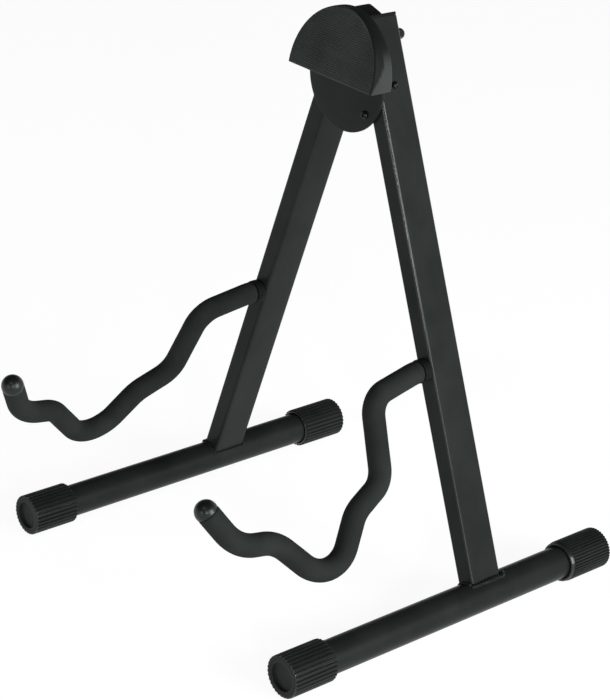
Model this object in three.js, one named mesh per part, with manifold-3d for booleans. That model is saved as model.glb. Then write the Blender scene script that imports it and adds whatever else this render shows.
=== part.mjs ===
// Folding A-frame floor stand for a guitar.
//
// Frame: millimetres, +Z up, origin on the floor under the middle of the stand's outline. The cradle arms
// point to -Y, the front. "Right" is the +X leg. The two legs lean together in the XZ plane and meet at a
// hinge disc. The right leg is fixed to the disc, and the left leg turns on one bolt about Y.

import * as THREE from 'three';
import { mergeVertices } from 'three/addons/utils/BufferGeometryUtils.js';
import Module from 'manifold-3d';

const wasm = await Module();
wasm.setup();

// ---------------------------------------------------------------- driving dimensions

const GAP = 0.3; // clearance between pieces that touch or turn on each other
const HALF_TURN = Math.PI;
const SIDES = { right: 1, left: -1 };

const BASE = { od: 25.4, wall: 1.5, halfSpread: 155.3, aheadOfLeg: 197.4, behindLeg: 125.9 };
const CAP = { r: 16, rootR: 15.1, ribs: 30, frontLength: 39.2, rearLength: 43.2, collar: 3, collarR: 15.3 };
const RIB = { crest: 0.24, root: 0.42 }; // half widths, as shares of the pitch between ribs
const CAP_END = { wall: 5, recessR: 11.5, recess: 2, faceR: 14, edge: 2 };

const LEG = { w: 15, d: 30, wall: 1.3, corner: 2, lean: 19.84, length: 436.3, pivot: 420 };
const PLUG = { flange: 2, spigot: 8, fit: 0.3, wall: 1.6 };

const DISC = { r: 40.1, x: -1.5, z: 380, thickness: 2.5, chamfer: 0.5 };
const PAD = { r: 45.3, x: 3, z: 389.6, drop: 5.6, roll: 3.4, thickness: 20.8, tilt: 13 };
const PAD_POCKET = { r: 6.2, depth: 3 };

const BOLT = { r: 2.5, headR: 5.5, head: 2.2, end: 5.2 };
const WASHER = { r: 5, thickness: 1 };
const NUT = { flats: 8, hex: 3, domeR: 3.8, height: 7.6, bore: 5.6 };
const BUSH = { r: 4 };

const BRACKET = { sheet: 2, flange: 8, wing: 24, bottom: 360, wingBottom: 375, top: 396 };
const SCREW = { r: 2, headR: 3.5, head: 2.2, discAlong: 367, discInboard: 2.9, sideAlong: 384 };
const SMALL_NUT = { flats: 7, height: 3 };

const ARM = { twist: 4.6, rodR: 4, foamR: 8.5, steps: 42, rodSides: 8, foamSides: 12 };
const ARM_HEIGHT = { right: 176, left: 179.5 };
const COLLAR = { r: 9, length: 7, edge: 1 };
const TIP = { straight: 1.5, bore: 3.5 };

// An arm's centreline, seen from the side: [forward of the leg's axis, up from the arm's hole, bend radius].
const INNER_CORNERS = [
  [3, 0, 0], // end of the rod, inside the leg
  [26, 0, 60], // slight droop, just outside the collar
  [71, -8, 19.5], // over the edge and steeply down
  [80.5, -67.5, 20.5], // inner shelf
  [110.5, -82, 30], // down into the valley
  [144.5, -128.5, 26], // valley floor
];
// The rods are bent by hand, so the two outer ends differ by a few millimetres.
const OUTER_CORNERS = {
  right: [
    [185.5, -82, 29], // outer shelf
    [217.5, -77, 31], // up to the tip
    [235, -46.5, 0], // centre of the domed tip
  ],
  left: [
    [192, -75, 22.5],
    [223.5, -68, 33.5],
    [240.5, -32.5, 0],
  ],
};

// The outline runs from the front of the longer arm's tip to the back of the base, with the origin halfway.
const REACH = Math.max(...Object.values(OUTER_CORNERS).map((corners) => corners.at(-1)[0])) + ARM.foamR;
const LEG_Y = (REACH - BASE.behindLeg) / 2;
const BASE_FRONT = LEG_Y - BASE.aheadOfLeg;
const BASE_REAR = LEG_Y + BASE.behindLeg;

// ---------------------------------------------------------------- finishes

const finish = (color, roughness, metalness) => () =>
  new THREE.MeshStandardMaterial({ color, roughness, metalness });
const blackPowderCoat = finish(0x17191a, 0.45, 0.25);
const blackRubber = finish(0x141516, 0.85, 0);
const blackFoam = finish(0x1b1c1c, 0.95, 0);
const glossPlastic = finish(0x101112, 0.3, 0);
const platedSteel = finish(0xb9bcbf, 0.3, 0.9);
const nylon = finish(0xd8d6cd, 0.6, 0);

// ---------------------------------------------------------------- solids

const radians = THREE.MathUtils.degToRad;
const move = (x, y, z) => new THREE.Matrix4().makeTranslation(x, y, z);
const turnX = (angle) => new THREE.Matrix4().makeRotationX(angle);
const turnY = (angle) => new THREE.Matrix4().makeRotationY(angle);
const turnZ = (angle) => new THREE.Matrix4().makeRotationZ(angle);

/** A closed geometry as a solid that can be joined and cut, placed by an optional matrix. */
function solid(geometry, placement = new THREE.Matrix4()) {
  const bare = geometry.clone().applyMatrix4(placement);
  bare.deleteAttribute('normal');
  bare.deleteAttribute('uv');
  const merged = mergeVertices(bare, 1e-4);
  return new wasm.Manifold(new wasm.Mesh({
    numProp: 3,
    vertProperties: new Float32Array(merged.attributes.position.array),
    triVerts: new Uint32Array(merged.index.array),
  }));
}

/** The surface of a solid, as a geometry. */
function surface(body) {
  const mesh = body.getMesh();
  const geometry = new THREE.BufferGeometry();
  geometry.setAttribute('position', new THREE.BufferAttribute(mesh.vertProperties, 3));
  geometry.setIndex(new THREE.BufferAttribute(mesh.triVerts, 1));
  geometry.computeVertexNormals();
  return geometry;
}

/** A revolved solid about Y, from [radius, y] corners that run counter-clockwise. */
const lathe = (corners, segments = 32) =>
  new THREE.LatheGeometry(corners.map(([r, y]) => new THREE.Vector2(r, y)), segments);

/** A plain round bar along Y, from one y to another. */
function rodAlongY(r, from, to, segments = 32) {
  return solid(new THREE.CylinderGeometry(r, r, to - from, segments), move(0, (from + to) / 2, 0));
}

/** A round cutter along Y, centred on the origin and then placed. */
function drill(r, length, placement, segments = 24) {
  return solid(new THREE.CylinderGeometry(r, r, length, segments), placement);
}

/** A ring about Y with a square section. */
function ring(outer, inner, from, to, segments = 32) {
  return lathe([[inner, from], [outer, from], [outer, to], [inner, to], [inner, from]], segments);
}

/** A hexagonal prism about Y, by its width across flats. */
function hexagon(flats, from, to) {
  return rodAlongY(flats / Math.sqrt(3), from, to, 6);
}

/** A closed outline of a rectangle with round corners, centred on the origin. */
function roundedRectangle(w, d, r) {
  const shape = new THREE.Shape();
  const [x, y] = [w / 2 - r, d / 2 - r];
  shape.absarc(x, y, r, 0, HALF_TURN / 2);
  shape.absarc(-x, y, r, HALF_TURN / 2, HALF_TURN);
  shape.absarc(-x, -y, r, HALF_TURN, 1.5 * HALF_TURN);
  shape.absarc(x, -y, r, 1.5 * HALF_TURN, 2 * HALF_TURN);
  shape.closePath();
  return shape;
}

/** A straight extrusion of a shape along +Z, from one z to another. */
function extrude(shape, from, to, curveSegments = 3) {
  const geometry = new THREE.ExtrudeGeometry(shape, { depth: to - from, bevelEnabled: false, curveSegments });
  return geometry.translate(0, 0, from);
}

/** A round outline with an optional round hole. */
function disc(r, hole = 0) {
  const shape = new THREE.Shape().absarc(0, 0, r, 0, 2 * HALF_TURN);
  if (hole > 0) shape.holes.push(new THREE.Path().absarc(0, 0, hole, 0, 2 * HALF_TURN));
  return shape;
}

// ---------------------------------------------------------------- assembly

const stand = new THREE.Group();

/** Adds one named piece to a group. */
function piece(group, name, geometry, material) {
  const mesh = new THREE.Mesh(geometry, material);
  mesh.name = name;
  group.add(mesh);
  return mesh;
}

/** The turned frame of one leg: +Z runs up the leg from the base tube's axis, and Y stays the stand's Y. */
function legFrame(side) {
  const frame = new THREE.Group();
  frame.position.set(side * BASE.halfSpread, LEG_Y, CAP.r);
  frame.rotation.y = -side * radians(LEG.lean);
  stand.add(frame);
  return frame;
}

/** The place in the stand's XZ plane of a point on a leg, by its height up the leg and its inboard offset. */
function onLeg(side, along, inboard = 0) {
  const lean = radians(LEG.lean);
  const x = BASE.halfSpread - along * Math.sin(lean) - inboard * Math.cos(lean);
  const z = CAP.r + along * Math.cos(lean) - inboard * Math.sin(lean);
  return { x: side * x, z };
}

// ---------------------------------------------------------------- base tubes and foot caps

/** The ribbed outline of a foot cap: flat crests with sloped flanks, one crest at the bottom. */
function ribbedOutline() {
  const pitch = (2 * HALF_TURN) / CAP.ribs;
  const shape = new THREE.Shape();
  for (let rib = 0; rib < CAP.ribs; rib++) {
    const middle = HALF_TURN / 2 + rib * pitch;
    const flat = Math.cos(RIB.crest * pitch);
    const corners = [[CAP.rootR, -RIB.root], [CAP.r, -RIB.crest], [CAP.r, RIB.crest], [CAP.rootR, RIB.root]];
    corners.forEach(([r, share], corner) => {
      const angle = middle + share * pitch;
      const [x, y] = [(r / flat) * Math.cos(angle), (r / flat) * Math.sin(angle)];
      if (rib === 0 && corner === 0) shape.moveTo(x, y);
      else shape.lineTo(x, y);
    });
  }
  shape.closePath();
  return shape;
}

/** A foot cap with its closed end at y = 0 and its open end at y = length. */
function footCap(length) {
  const ribsEnd = length - CAP.collar;
  const ribs = solid(extrude(ribbedOutline(), CAP_END.edge, ribsEnd), turnX(-HALF_TURN / 2));
  const edge = CAP_END.edge + 1;
  const end = solid(lathe([[0, 0], [CAP_END.faceR, 0], [CAP.rootR, edge], [0, edge]], CAP.ribs));
  const collar = rodAlongY(CAP.collarR, ribsEnd - 1, length);
  const bore = rodAlongY(BASE.od / 2 + GAP, CAP_END.wall, length + 1);
  const recess = rodAlongY(CAP_END.recessR, -1, CAP_END.recess, 24);
  return surface(ribs.add(end).add(collar).subtract(bore).subtract(recess));
}

function base(name, side) {
  const x = side * BASE.halfSpread;
  const from = BASE_FRONT + CAP_END.wall + GAP;
  const to = BASE_REAR - CAP_END.wall - GAP;
  const tube = ring(BASE.od / 2, BASE.od / 2 - BASE.wall, from, to);
  piece(stand, `${name}_base_tube`, tube, blackPowderCoat()).position.set(x, 0, CAP.r);

  const front = piece(stand, `${name}_front_foot_cap`, footCap(CAP.frontLength), blackRubber());
  front.position.set(x, BASE_FRONT, CAP.r);
  const rear = piece(stand, `${name}_rear_foot_cap`, footCap(CAP.rearLength), blackRubber());
  rear.position.set(x, BASE_REAR, CAP.r);
  rear.rotation.z = HALF_TURN;
}

// ---------------------------------------------------------------- legs

/** One leg tube: its foot fits round the base tube, and its walls are drilled for the arm and the bolts. */
function legTube(name, side) {
  const section = roundedRectangle(LEG.w, LEG.d, LEG.corner);
  const inside = LEG.corner - LEG.wall;
  section.holes.push(roundedRectangle(LEG.w - 2 * LEG.wall, LEG.d - 2 * LEG.wall, inside));
  const tube = solid(extrude(section, 0, LEG.length - PLUG.flange - GAP));

  const cope = rodAlongY(BASE.od / 2 + GAP, -LEG.d, LEG.d, 48);
  const armHole = drill(ARM.rodR + GAP, 4 * LEG.wall, move(0, -LEG.d / 2, ARM_HEIGHT[name]));
  const boltR = side === SIDES.right ? BOLT.r + GAP : BUSH.r + GAP;
  const boltHole = drill(boltR, 2 * LEG.d, move(0, 0, LEG.pivot));
  const drilled = tube.subtract(cope).subtract(armHole).subtract(boltHole);
  if (side === SIDES.left) return surface(drilled);
  const across = move(0, 0, SCREW.sideAlong).multiply(turnZ(HALF_TURN / 2));
  return surface(drilled.subtract(drill(SCREW.r + GAP, 2 * LEG.w, across, 16)));
}

/** The moulded plug that closes the top of a leg tube. */
function legPlug() {
  const flangeFrom = LEG.length - PLUG.flange;
  const flange = solid(extrude(roundedRectangle(LEG.w, LEG.d, LEG.corner), flangeFrom, LEG.length));
  const shrink = 2 * (LEG.wall + PLUG.fit);
  const [w, d] = [LEG.w - shrink, LEG.d - shrink];
  const skirt = roundedRectangle(w, d, PLUG.fit);
  skirt.holes.push(roundedRectangle(w - 2 * PLUG.wall, d - 2 * PLUG.wall, PLUG.fit));
  return surface(flange.add(solid(extrude(skirt, flangeFrom - PLUG.spigot, flangeFrom + PLUG.flange / 2))));
}

// ---------------------------------------------------------------- cradle arms

/** A flat outline of straight runs joined by round bends, from [forward, up, bend radius] corners. */
function bentLine(corners) {
  const points = corners.map(([f, u]) => new THREE.Vector2(f, u));
  const path = new THREE.Path().moveTo(points[0].x, points[0].y);
  for (let i = 1; i < points.length - 1; i++) {
    const into = points[i].clone().sub(points[i - 1]).normalize();
    const out = points[i + 1].clone().sub(points[i]).normalize();
    const turn = Math.atan2(into.cross(out), into.dot(out));
    const reach = corners[i][2] * Math.tan(Math.abs(turn) / 2);
    const start = points[i].clone().addScaledVector(into, -reach);
    const side = Math.sign(turn);
    const centre = new THREE.Vector2(-into.y, into.x).multiplyScalar(side * corners[i][2]).add(start);
    const first = Math.atan2(start.y - centre.y, start.x - centre.x);
    path.lineTo(start.x, start.y);
    path.absarc(centre.x, centre.y, corners[i][2], first, first + turn, turn < 0);
  }
  return path.lineTo(points.at(-1).x, points.at(-1).y);
}

/** A stretch of a flat path set upright in the arm's frame: forward is -Y and up is +Z. */
class UprightCurve extends THREE.Curve {
  constructor(path, from, to) {
    super();
    Object.assign(this, { path, from, to });
  }

  getPoint(t, target = new THREE.Vector3()) {
    const length = this.from + t * (this.to - this.from);
    const { x, y } = this.path.getPointAt(THREE.MathUtils.clamp(length / this.path.getLength(), 0, 1));
    return target.set(0, -x, y);
  }
}

/** A section carried along a stretch of the arm's centreline. */
function alongArm(shape, path, from, to, curveSegments) {
  const extrudePath = new UprightCurve(path, from, to);
  return new THREE.ExtrudeGeometry(shape, { steps: ARM.steps, extrudePath, curveSegments });
}

/** The domed cap on an arm's end, with its open face at y = 0 and its dome towards -Y. */
function armTip() {
  const arc = new THREE.Path().absarc(0, -TIP.straight, ARM.foamR, 1.5 * HALF_TURN, 2 * HALF_TURN);
  const dome = arc.getPoints(4).map(({ x, y }) => [Math.max(x, 0), y]);
  dome[0][0] = 0;
  const bore = ARM.rodR + GAP;
  const boreEnd = -TIP.straight - TIP.bore;
  return lathe([...dome, [ARM.foamR, 0], [bore, 0], [bore, boreEnd], [0, boreEnd]], 20);
}

function arm(name, side, frame) {
  const group = new THREE.Group();
  group.position.z = ARM_HEIGHT[name];
  group.rotation.y = -side * radians(ARM.twist);
  frame.add(group);

  const corners = [...INNER_CORNERS, ...OUTER_CORNERS[name]];
  const path = bentLine(corners);
  const length = path.getLength();
  const start = corners[0][0];
  const collarFrom = LEG.d / 2 + GAP;
  const foamFrom = collarFrom + COLLAR.length + GAP - start;
  const foamTo = length - TIP.straight - GAP;

  const rod = alongArm(disc(ARM.rodR), path, 0, length, ARM.rodSides / 2);
  piece(group, `${name}_arm_rod`, rod, blackPowderCoat());
  const foam = alongArm(disc(ARM.foamR, ARM.rodR + 2 * GAP), path, foamFrom, foamTo, ARM.foamSides / 2);
  piece(group, `${name}_arm_foam`, foam, blackFoam());

  const collarTo = -collarFrom - COLLAR.length;
  const collar = lathe([
    [ARM.rodR + GAP, collarTo],
    [COLLAR.r - COLLAR.edge, collarTo],
    [COLLAR.r, collarTo + COLLAR.edge],
    [COLLAR.r, -collarFrom],
    [ARM.rodR + GAP, -collarFrom],
    [ARM.rodR + GAP, collarTo],
  ]);
  piece(group, `${name}_arm_collar`, collar, blackRubber());

  const [endF, endU] = corners.at(-1);
  const [lastF, lastU] = corners.at(-2);
  const climb = Math.atan2(endU - lastU, endF - lastF);
  const tip = piece(group, `${name}_arm_tip`, armTip(), glossPlastic());
  tip.rotation.x = -climb;
  tip.position.set(0, -endF + TIP.straight * Math.cos(climb), endU - TIP.straight * Math.sin(climb));
}

// ---------------------------------------------------------------- hinge

const LEG_FRONT = LEG_Y - LEG.d / 2;
const LEG_BACK = LEG_Y + LEG.d / 2;
const DISC_BACK = LEG_FRONT - GAP;
const DISC_FRONT = DISC_BACK - DISC.thickness;
const SCREW_PLACE = onLeg(SIDES.right, SCREW.discAlong, LEG.w / 2 + SCREW.discInboard);

function hingeDisc() {
  const { r, x: middle, z, chamfer, thickness } = DISC;
  const plate = solid(lathe([
    [0, DISC_FRONT],
    [r - chamfer, DISC_FRONT],
    [r, DISC_FRONT + chamfer],
    [r, DISC_BACK],
    [0, DISC_BACK],
  ], 48), move(middle, 0, z));
  const hole = (boltR, x, atZ) => drill(boltR, 4 * thickness, move(x, DISC_BACK, atZ));
  let drilled = plate.subtract(hole(SCREW.r + GAP, SCREW_PLACE.x, SCREW_PLACE.z));
  for (const side of Object.values(SIDES)) {
    const { x, z: atZ } = onLeg(side, LEG.pivot);
    drilled = drilled.subtract(hole(BOLT.r + GAP, x, atZ));
  }
  return surface(drilled);
}

/** The wedge pad: flat back, straight bottom edge a little below its circle's centre, leaning front. */
function backrestPad() {
  const back = DISC_FRONT - GAP;
  const front = back - PAD.thickness;
  const below = Math.asin(PAD.drop / PAD.r);
  const outline = new THREE.Shape().absarc(0, 0, PAD.r, -below, HALF_TURN + below).closePath();
  const place = move(PAD.x, 0, PAD.z).multiply(turnY(radians(PAD.roll)));
  const block = solid(extrude(outline, -back, -front, 20), place.clone().multiply(turnX(HALF_TURN / 2)));
  const slab = 4 * PAD.r;
  const lean = place.clone().multiply(move(0, front, -PAD.drop)).multiply(turnX(-radians(PAD.tilt)));
  const cutter = solid(new THREE.BoxGeometry(slab, slab, slab).translate(0, -slab / 2, 0), lean);
  let pad = block.subtract(cutter);
  for (const side of Object.values(SIDES)) {
    const { x, z } = onLeg(side, LEG.pivot);
    pad = pad.subtract(drill(PAD_POCKET.r, 2 * PAD_POCKET.depth, move(x, back, z)));
  }
  return surface(pad);
}

function pivotBolt() {
  const { r, headR, head, end } = BOLT;
  const under = DISC_FRONT - GAP;
  const tail = LEG_BACK + end;
  return lathe([[0, under - head], [headR * 0.55, under - head], [headR, under - head * 0.4], [headR, under],
    [r, under], [r, tail], [0, tail]], 16);
}

function domedNut() {
  const from = LEG_BACK + WASHER.thickness + 2 * GAP;
  const { flats, hex, domeR, height, bore } = NUT;
  const dome = [[0, from + 1], [domeR, from + 1], [domeR, from + hex]];
  for (let step = 1; step <= 6; step++) {
    const angle = (step / 6) * (HALF_TURN / 2);
    dome.push([step === 6 ? 0 : domeR * Math.cos(angle), from + hex + (height - hex) * Math.sin(angle)]);
  }
  return surface(hexagon(flats, from, from + hex).add(solid(lathe(dome, 18)))
    .subtract(rodAlongY(BOLT.r + GAP, from - 1, from + bore, 24)));
}

/** The hardware of one leg's pivot: bolt, washer, domed nut and, on the leg that turns, a bush. */
function pivot(name, side) {
  const { x, z } = onLeg(side, LEG.pivot);
  const place = (mesh) => mesh.position.set(x, 0, z);
  place(piece(stand, `${name}_pivot_bolt`, pivotBolt(), platedSteel()));
  const washerFrom = LEG_BACK + GAP;
  const washer = ring(WASHER.r, BOLT.r + GAP, washerFrom, washerFrom + WASHER.thickness, 24);
  place(piece(stand, `${name}_pivot_washer`, washer, platedSteel()));
  place(piece(stand, `${name}_domed_nut`, domedNut(), platedSteel()));
  if (side === SIDES.left) {
    const bush = ring(BUSH.r, BOLT.r + GAP, LEG_FRONT, LEG_BACK, 24);
    place(piece(stand, 'left_pivot_bush', bush, nylon()));
  }
}

/** The angle bracket on the right leg's inner face: its flange lies behind the disc. */
function hingeBracket() {
  const face = -LEG.w / 2 - GAP;
  const { sheet, flange, wing, bottom, wingBottom, top } = BRACKET;
  const front = -LEG.d / 2;
  const bar = (x0, x1, y0, y1, z0, z1) => solid(new THREE.BoxGeometry(x1 - x0, y1 - y0, z1 - z0),
    move((x0 + x1) / 2, (y0 + y1) / 2, (z0 + z1) / 2));
  const plates = bar(face - flange, face, front, front + sheet, bottom, top)
    .add(bar(face - sheet, face, front, front + wing, wingBottom, top));
  const hole = (placement) => drill(SCREW.r + GAP, 3 * sheet, placement, 16);
  const discHole = hole(move(-LEG.w / 2 - SCREW.discInboard, front, SCREW.discAlong));
  const sideHole = hole(move(face, 0, SCREW.sideAlong).multiply(turnZ(HALF_TURN / 2)));
  return surface(plates.subtract(discHole).subtract(sideHole));
}

/** A pan-head screw along Y, its head towards -Y and its head's underside at y = 0. */
function panScrew(length) {
  const { r, headR, head } = SCREW;
  return lathe([[0, -head], [headR * 0.6, -head * 0.95], [headR * 0.92, -head * 0.6], [headR, 0], [r, 0],
    [r, length], [0, length]], 20);
}

function hinge(rightFrame) {
  piece(stand, 'hinge_disc', hingeDisc(), blackPowderCoat());
  piece(stand, 'backrest_pad', backrestPad(), blackRubber());
  for (const [name, side] of Object.entries(SIDES)) pivot(name, side);

  piece(rightFrame, 'hinge_bracket', hingeBracket(), blackPowderCoat());
  const discScrew = piece(stand, 'disc_screw', panScrew(DISC.thickness + BRACKET.sheet + 1), platedSteel());
  discScrew.position.set(SCREW_PLACE.x, DISC_FRONT - GAP, SCREW_PLACE.z);

  const head = LEG.w / 2 + GAP;
  const nutFrom = LEG.w / 2 + BRACKET.sheet + 2 * GAP;
  const through = panScrew(head + nutFrom + SMALL_NUT.height);
  const sideScrew = piece(rightFrame, 'bracket_screw', through, platedSteel());
  sideScrew.position.set(head, 0, SCREW.sideAlong);
  sideScrew.rotation.z = HALF_TURN / 2;
  const nut = hexagon(SMALL_NUT.flats, 0, SMALL_NUT.height)
    .subtract(rodAlongY(SCREW.r + GAP, -1, SMALL_NUT.height + 1, 16));
  const smallNut = piece(rightFrame, 'bracket_nut', surface(nut), platedSteel());
  smallNut.position.set(-nutFrom, 0, SCREW.sideAlong);
  smallNut.rotation.z = HALF_TURN / 2;
}

// ---------------------------------------------------------------- build

const frames = {};
for (const [name, side] of Object.entries(SIDES)) {
  base(name, side);
  frames[name] = legFrame(side);
  piece(frames[name], `${name}_leg_tube`, legTube(name, side), blackPowderCoat());
  piece(frames[name], `${name}_leg_top_plug`, legPlug(), glossPlastic());
  arm(name, side, frames[name]);
}
hinge(frames.right);

export default stand;
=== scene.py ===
"""Folding A-frame guitar stand: fine surfaces, finishes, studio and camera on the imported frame.

Lengths in the dataclasses are millimetres in the stand's own frame: +Z up, origin on the floor under the
middle of the outline, cradle arms towards -Y, right leg on +X. Meshes are written in metres.
"""

import logging
import math
from dataclasses import dataclass, field
from enum import Enum
from typing import Optional, Sequence

import bpy
import numpy as np
from mathutils import Matrix, Vector


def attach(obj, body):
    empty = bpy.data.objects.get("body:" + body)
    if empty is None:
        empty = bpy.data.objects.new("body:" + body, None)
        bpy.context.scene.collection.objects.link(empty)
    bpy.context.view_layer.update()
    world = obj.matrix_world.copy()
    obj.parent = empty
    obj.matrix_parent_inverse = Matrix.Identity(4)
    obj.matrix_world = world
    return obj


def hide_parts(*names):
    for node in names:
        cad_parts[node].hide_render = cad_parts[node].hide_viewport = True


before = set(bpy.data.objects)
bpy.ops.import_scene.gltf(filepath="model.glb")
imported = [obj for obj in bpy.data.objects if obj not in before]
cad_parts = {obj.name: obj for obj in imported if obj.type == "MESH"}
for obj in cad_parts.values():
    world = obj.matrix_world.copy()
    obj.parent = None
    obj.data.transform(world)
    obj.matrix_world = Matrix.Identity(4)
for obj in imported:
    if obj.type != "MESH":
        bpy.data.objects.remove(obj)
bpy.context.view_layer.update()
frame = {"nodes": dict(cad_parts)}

MM = 0.001
COLUMNS = 96  # usual steps round a turned piece
GAP = 0.3  # clearance between neighbouring solids, in millimetres
RIB_COLUMNS = 12  # columns in one rib of a foot cap
HALF_SPREAD = 155.3  # from the middle to a base tube's axis
BASE_R, BASE_Z = 12.7, 16.0  # a base tube's radius and the height of its axis
log = logging.getLogger("stand")

Rows = np.ndarray  # (rows, columns, 3): points of a surface whose columns wrap round
Socket = bpy.types.NodeSocket
Tree = bpy.types.NodeTree


class Side(Enum):
    """The two halves of the A-frame."""

    RIGHT = 1
    LEFT = -1

    @property
    def label(self) -> str:
        """The word that starts the names of this half's pieces."""
        return self.name.lower()

    @property
    def body(self) -> str:
        """The moving body that this half belongs to."""
        return f"{self.label}_leg"


class End(Enum):
    """The two ends of a base tube."""

    FRONT = "front"
    REAR = "rear"


# ---- surfaces


def circle(steps: int) -> np.ndarray:
    """Even angles once round a circle, in radians."""
    return np.linspace(0, 2 * np.pi, steps, endpoint=False)


def turned(r: np.ndarray, y: np.ndarray, a: np.ndarray) -> Rows:
    """Points about the Y axis: (r sin a, y, r cos a)."""
    return np.stack(np.broadcast_arrays(r * np.sin(a), y, r * np.cos(a)), -1)


def revolve(profile: Sequence[tuple[float, float]], columns: int = COLUMNS) -> Rows:
    """Turns a profile about the Y axis.

    Args:
        profile: Radius and place along Y of each row.
        columns: Steps round the circle.

    Returns:
        The surface's rows.
    """
    r, y = np.asarray(profile, float).T[..., None]
    return turned(r, y, circle(columns))


def unit(vectors: np.ndarray) -> np.ndarray:
    """Vectors scaled to length 1."""
    return vectors / np.linalg.norm(vectors, axis=-1, keepdims=True)


def run_along(line: np.ndarray) -> np.ndarray:
    """The distance travelled along a line of points, at each of them."""
    return np.concatenate([[0], np.cumsum(np.linalg.norm(np.diff(line, axis=0), axis=1))])


def rings(first: np.ndarray, second: np.ndarray, a: np.ndarray) -> Rows:
    """Unit circles, one row for each pair of axes: first cos a + second sin a."""
    return first[:, None] * np.cos(a)[:, None] + second[:, None] * np.sin(a)[:, None]


def lifted(outline: np.ndarray, z) -> np.ndarray:
    """An outline in XY at the height z, which is one for all or one for each point."""
    return np.column_stack([outline, np.broadcast_to(z, len(outline))])


def rounded_rectangle(w: float, d: float, r: float, corner_steps: int = 8, side_steps: int = 5) -> np.ndarray:
    """A closed outline in XY: four quarter circles of radius r about the inner corners, joined by straight sides.

    Args:
        w: Width along X.
        d: Depth along Y.
        r: Corner radius.
        corner_steps: Steps in a quarter circle.
        side_steps: Steps in a straight side.

    Returns:
        Points of shape (n, 2), counter-clockwise.
    """
    signs = np.array([[1, 1], [-1, 1], [-1, -1], [1, -1]])
    centres = signs * [w / 2 - r, d / 2 - r]
    quarter = np.linspace(0, np.pi / 2, corner_steps + 1)
    turns = quarter[None] + np.arange(4)[:, None] * np.pi / 2
    arcs = centres[:, None] + r * np.stack([np.cos(turns), np.sin(turns)], -1)
    share = np.linspace(0, 1, side_steps + 2)[1:-1, None]
    sides = arcs[:, -1][:, None] * (1 - share) + np.roll(arcs, -1, 0)[:, 0][:, None] * share
    return np.concatenate([arcs, sides], 1).reshape(-1, 2)


def smoothstep(low: float, high: float, value: np.ndarray) -> np.ndarray:
    """3t^2 - 2t^3 of the value's share t of the way from low to high, held at 0 and 1 outside."""
    t = np.clip((value - low) / (high - low), 0, 1)
    return t * t * (3 - 2 * t)


def arc(centre: tuple[float, float], r: float, start: float, stop: float, steps: int = 6) -> list[tuple[float, float]]:
    """Points on a circle's arc, centre + r (cos a, sin a), for a from start to stop in degrees."""
    a = np.radians(np.linspace(start, stop, steps + 1))
    return list(zip(centre[0] + r * np.cos(a), centre[1] + r * np.sin(a)))


@dataclass
class Surface:
    """A closed surface: rows of points whose columns wrap, joined row to row.

    Attributes:
        rows: Points of shape (rows, columns, 3), in millimetres.
        poles: A point that closes the first row and one that closes the last, or None.
        ring: True where the last row joins the first, as on a tube with a wall.
    """

    rows: Rows
    poles: tuple[Optional[Sequence[float]], Optional[Sequence[float]]] = (None, None)
    ring: bool = False

    def faces(self) -> tuple[np.ndarray, np.ndarray, np.ndarray]:
        """Joins each point to its neighbours.

        Returns:
            The vertices, the quads and the triangles that meet at the poles.
        """
        m, n = self.rows.shape[:2]
        index = np.arange(m * n).reshape(m, n)
        low = index if self.ring else index[:-1]
        high = np.roll(index, -1, 0) if self.ring else index[1:]
        quads = np.stack([low, np.roll(low, -1, 1), np.roll(high, -1, 1), high], -1).reshape(-1, 4)
        points, fans = [self.rows.reshape(-1, 3)], [np.zeros((0, 3), int)]
        for pole, row, back in zip(self.poles, (index[0], index[-1]), (True, False)):
            if pole is None:
                continue
            tip = np.full(n, sum(len(p) for p in points))
            points.append(np.asarray(pole, float).reshape(1, 3))
            after = np.roll(row, -1)
            fans.append(np.stack([after, row, tip] if back else [row, after, tip], -1))
        return np.concatenate(points), quads, np.concatenate(fans)

    def mesh(self, name: str, smooth_angle: float = 35.0) -> bpy.types.Mesh:
        """Writes the surface as a mesh in metres, with its faces pointing out.

        Args:
            name: The mesh's name.
            smooth_angle: Edges that turn more than this, in degrees, stay sharp.

        Returns:
            The mesh.
        """
        points, quads, fans = self.faces()
        split = np.concatenate([quads[:, [0, 1, 2]], quads[:, [0, 2, 3]], fans])
        a, b, c = (points[split[:, k]] for k in range(3))
        if np.einsum("ij,ij->i", a, np.cross(b, c)).sum() < 0:
            quads, fans = quads[:, ::-1], fans[:, ::-1]
        mesh = bpy.data.meshes.new(name)
        mesh.from_pydata((points * MM).tolist(), [], quads.tolist() + fans.tolist())
        mesh.update()
        mesh.shade_smooth()
        mesh.set_sharp_from_angle(angle=math.radians(smooth_angle))
        return mesh


@dataclass(frozen=True)
class Place:
    """A turned and shifted frame: a local point p stands at origin + axes p."""

    origin: np.ndarray
    axes: np.ndarray

    def __call__(self, points: np.ndarray) -> np.ndarray:
        """Local points in the stand's frame."""
        return points @ self.axes.T + self.origin

    def on_y(self, *places: float) -> tuple[np.ndarray, ...]:
        """Points of this frame's own Y axis, in the stand's frame."""
        return tuple(self(np.array([0, y, 0])) for y in places)

    @staticmethod
    def about_y(origin: Sequence[float], degrees: float = 0.0) -> "Place":
        """A frame turned about the Y axis."""
        c, s = math.cos(math.radians(degrees)), math.sin(math.radians(degrees))
        return Place(np.asarray(origin, float), np.array([[c, 0, s], [0, 1, 0], [-s, 0, c]]))


# ---- shader groups


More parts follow.
